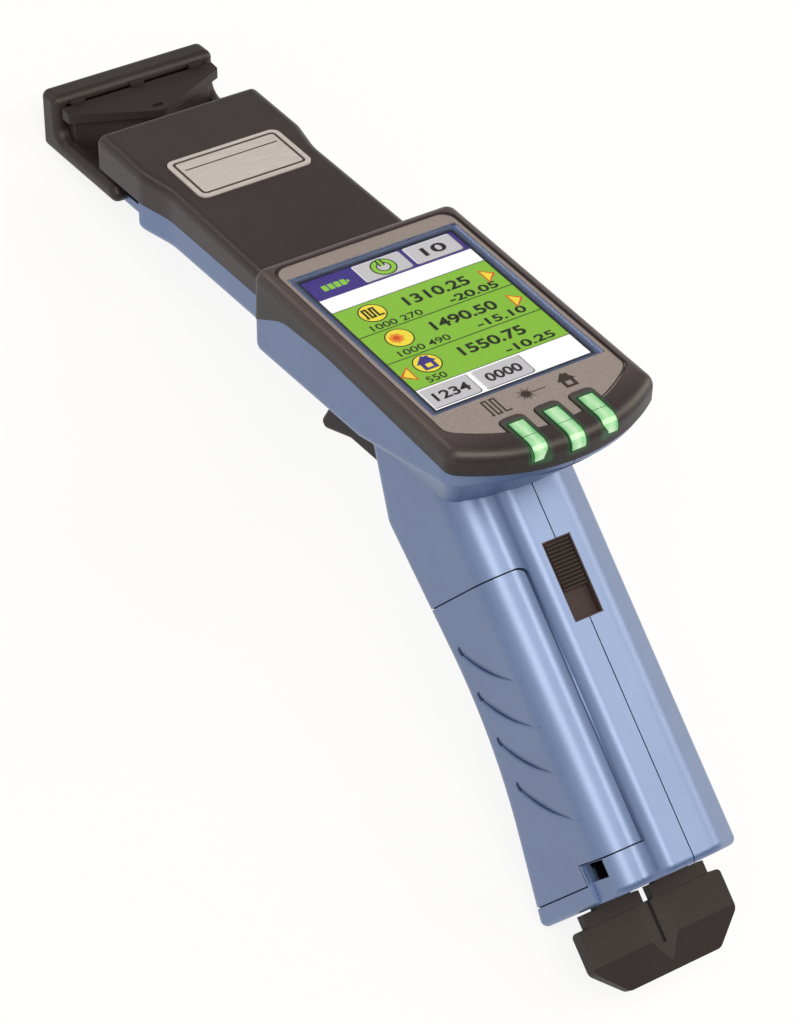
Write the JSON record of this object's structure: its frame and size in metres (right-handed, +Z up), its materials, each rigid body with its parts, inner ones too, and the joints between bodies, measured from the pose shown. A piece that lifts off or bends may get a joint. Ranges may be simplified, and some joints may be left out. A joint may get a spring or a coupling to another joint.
{
  "type": "optical fiber identifier",
  "caption": "Hand-held pistol-grip fibre tester with a colour touch screen, a trigger that draws a V-shaped clamp head back onto the fibre, and a handle holding cells.",
  "frame": {"origin": "middle of the bounding box's base, with the tool lying on its clamp hood and the handle's foot", "axes": "+X to the user's right, +Y toward the clamp head, +Z up"},
  "size_m": [0.0486, 0.2388, 0.0909],
  "materials": {
    "blue_paint": "metallic paint on moulded plastic",
    "charcoal_plastic": "fine moulded grain",
    "black_plastic": "satin moulding",
    "taupe_film": "printed film",
    "clear_glass": "polished",
    "slate_print": "printed border",
    "lit_panel": "lit colour display",
    "grey_plastic": "moulded",
    "green_lens": "translucent",
    "silver_plate": "satin",
    "circuit_board": "solder mask",
    "cell_jacket": "plain metal",
    "steel": "drawn"
  },
  "bodies": {
    "housing": {"left_shell": "blue_paint", "right_shell": "blue_paint", "display_bezel": "charcoal_plastic", "neck_cover": "charcoal_plastic", "optics_block": "black_plastic", "switch_well": "black_plastic", "fascia_plate": "taupe_film", "touch_glass": "clear_glass", "screen_border": "slate_print", "screen_panel": "lit_panel", "panel_tray": "grey_plastic", "battery_tray": "grey_plastic", "switch_body": "grey_plastic", "sounder": "grey_plastic", "light_window_left": "green_lens", "light_window_middle": "green_lens", "light_window_right": "green_lens", "name_plate": "silver_plate", "main_board": "circuit_board", "neck_board": "circuit_board", "battery_cell_back": "cell_jacket", "battery_cell_front": "cell_jacket", "return_spring": "steel", "contact_upper": "steel", "contact_lower": "steel", "detector_left": "steel", "detector_right": "steel"},
    "clamp": {"clamp_hood": "black_plastic", "fibre_insert": "black_plastic", "pull_bar": "steel", "trigger": "black_plastic"},
    "switch_slider": {"switch_knob": "black_plastic"},
    "door": {"battery_door": "blue_paint"},
    "adapter": {"spare_adapter": "black_plastic"}
  },
  "joints": [
    {"name": "clamp_slide", "type": "slide", "parent": "housing", "child": "clamp", "axis": [0, -0.8908, 0.4544], "range_m": [0, 0.008], "stiffness_N_per_m": 500, "springref_m": -0.01, "deforming": ["return_spring"]},
    {"name": "switch_slide", "type": "slide", "parent": "housing", "child": "switch_slider", "axis": [0, -0.9549, -0.297], "range_m": [0, 0.0058]},
    {"name": "door_slide", "type": "slide", "parent": "housing", "child": "door", "axis": [-1, 0, 0], "range_m": [0, 0.03]},
    {"name": "adapter_slide", "type": "slide", "parent": "housing", "child": "adapter", "axis": [0, -0.9549, -0.297], "range_m": [0, 0.025]}
  ]
}
